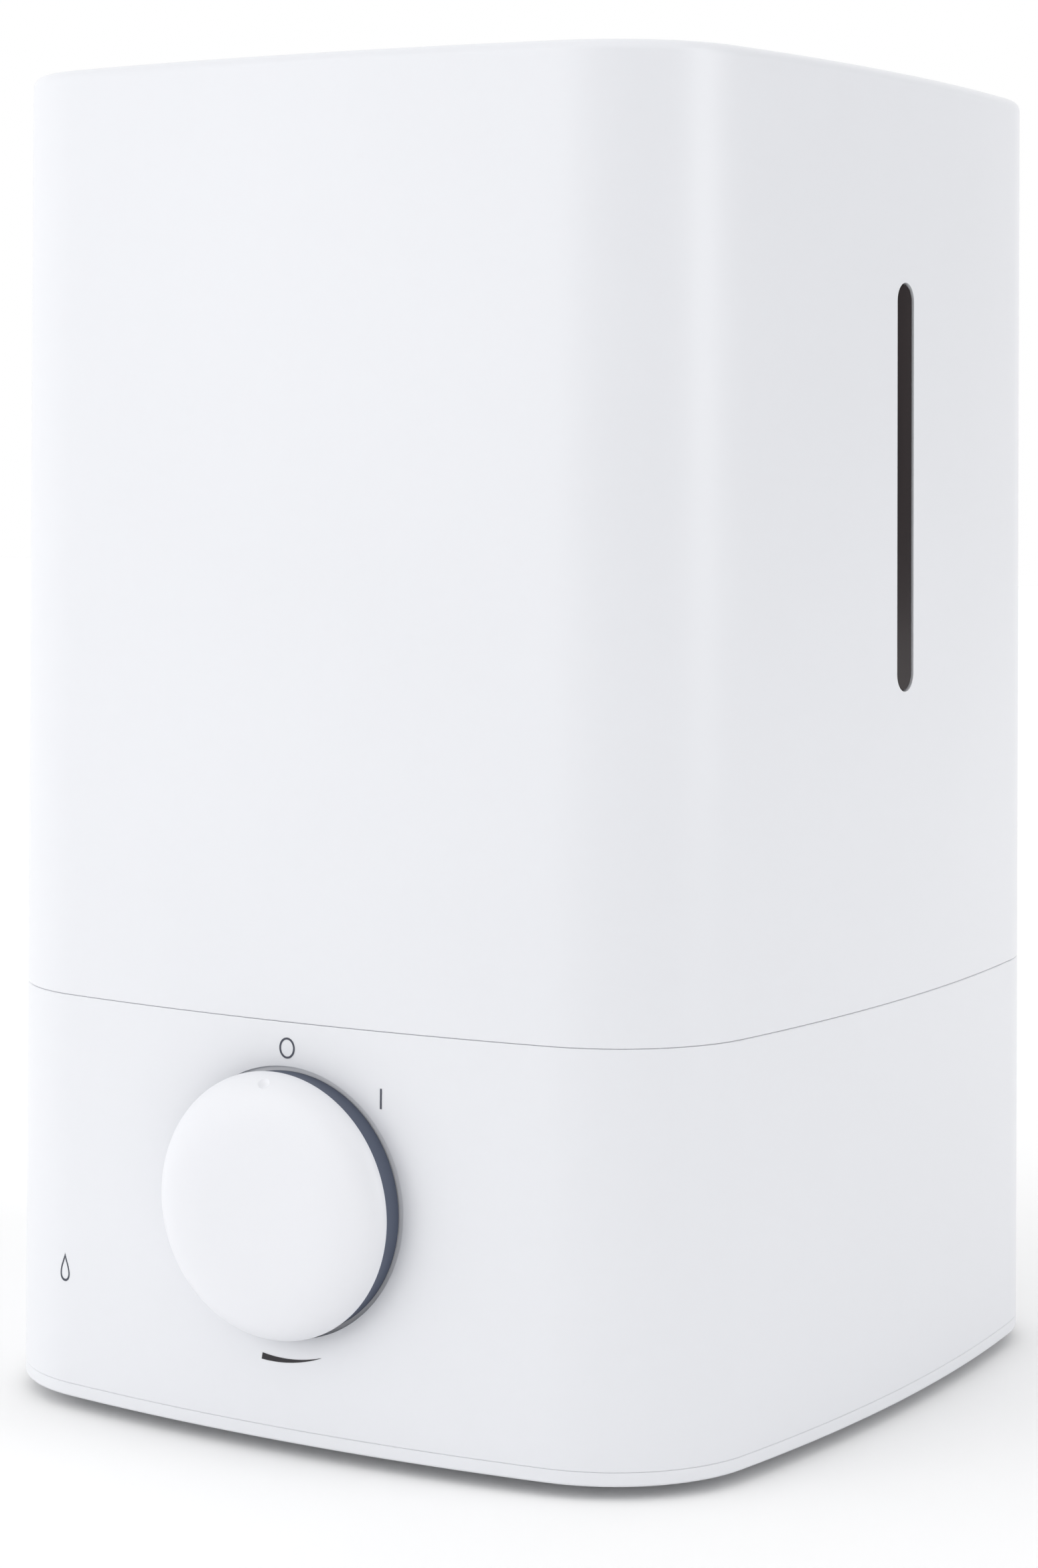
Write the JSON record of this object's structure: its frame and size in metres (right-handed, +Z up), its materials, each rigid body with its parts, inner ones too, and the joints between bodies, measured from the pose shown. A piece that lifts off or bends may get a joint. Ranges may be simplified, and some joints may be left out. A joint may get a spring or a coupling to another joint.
{
  "type": "cool mist humidifier",
  "caption": "Tall white cool mist humidifier: a lift-off water tank with a smoked level window and turning mist nozzle, on a base with a large round dial.",
  "frame": {"origin": "on the surface it stands on, under the middle of the overall box", "axes": "+Z up, the dial faces -Y, the water level window faces +X"},
  "size_m": [0.1898, 0.21, 0.2897],
  "materials": {
    "white_shell": "satin moulded plastic",
    "inner_plastic": "plain moulded plastic",
    "slate_ring": "satin slate blue-grey",
    "smoked_window": "polished smoked plastic",
    "silicone": "translucent grey silicone",
    "foot_rubber": "matt dark rubber",
    "steel": "plated steel",
    "aluminium": "plain aluminium",
    "brass": "plain brass",
    "black_plastic": "black moulded plastic",
    "circuit_board": "green solder mask",
    "copper_wire": "enamelled copper winding",
    "lead_sleeve": "black wire sleeve"
  },
  "bodies": {
    "base": {"bottom_cover": "white_shell", "base_housing": "white_shell", "water_basin": "inner_plastic", "basin_gasket": "silicone", "foot_front_left": "foot_rubber", "foot_front_right": "foot_rubber", "foot_rear_left": "foot_rubber", "foot_rear_right": "foot_rubber", "cover_screw_front_left": "steel", "cover_screw_front_right": "steel", "cover_screw_rear_left": "steel", "cover_screw_rear_right": "steel", "transducer_seal": "silicone", "transducer_disc": "steel", "transducer_clamp": "aluminium", "clamp_screw_left": "steel", "clamp_screw_right": "steel", "float_clip": "inner_plastic", "float_switch": "black_plastic", "fan_frame": "black_plastic", "fan_screw_front": "steel", "fan_screw_rear": "steel", "control_board": "circuit_board", "board_screw_1": "steel", "board_screw_2": "steel", "heat_sink": "aluminium", "power_transistor": "black_plastic", "capacitor": "black_plastic", "induction_coil": "copper_wire", "board_connector": "inner_plastic", "potentiometer": "aluminium", "potentiometer_nut": "brass", "power_jack": "black_plastic", "power_jack_nut": "steel", "potentiometer_lead": "lead_sleeve", "transducer_lead": "lead_sleeve", "fan_lead": "lead_sleeve", "power_lead": "lead_sleeve"},
    "fan": {"fan_rotor": "black_plastic"},
    "knob": {"knob_ring": "slate_ring", "knob_cap": "white_shell", "knob_shaft": "steel"},
    "float": {"float_ring": "inner_plastic", "float_magnet": "black_plastic"},
    "tank": {"tank_shell": "white_shell", "water_window": "smoked_window", "tank_floor": "white_shell", "mist_chimney": "white_shell", "chimney_seal": "silicone", "valve_cage": "inner_plastic", "valve_spring": "steel"},
    "valve": {"valve_plunger": "inner_plastic", "valve_seal": "silicone"},
    "lid": {"tank_lid": "white_shell"},
    "nozzle": {"mist_nozzle": "white_shell"}
  },
  "joints": [
    {"name": "tank_lift", "type": "slide", "parent": "base", "child": "tank", "axis": [0, 0, 1], "range_m": [0, 0.12]},
    {"name": "lid_lift", "type": "slide", "parent": "tank", "child": "lid", "axis": [0, 0, 1], "range_m": [0, 0.08]},
    {"name": "nozzle_turn", "type": "hinge", "parent": "lid", "child": "nozzle", "pos_m": [0, 0.00503, 0.28], "axis": [0, 0, 1], "continuous": true},
    {"name": "knob_turn", "type": "hinge", "parent": "base", "child": "knob", "pos_m": [0, -0.09423, 0.0539], "axis": [0, 1, 0], "range_deg": [0, 190]},
    {"name": "float_rise", "type": "slide", "parent": "base", "child": "float", "axis": [0, 0, 1], "range_m": [0, 0.0045]},
    {"name": "valve_close", "type": "slide", "parent": "tank", "child": "valve", "axis": [0, 0, -1], "range_m": [0, 0.004], "deforming": ["valve_spring"]},
    {"name": "fan_spin", "type": "hinge", "parent": "base", "child": "fan", "pos_m": [0, 0.05203, 0.054], "axis": [0, 0, 1], "continuous": true}
  ],
  "couplings": [
    {"joint": "valve_close", "follows": "tank_lift", "ratio": 0.0333}
  ]
}
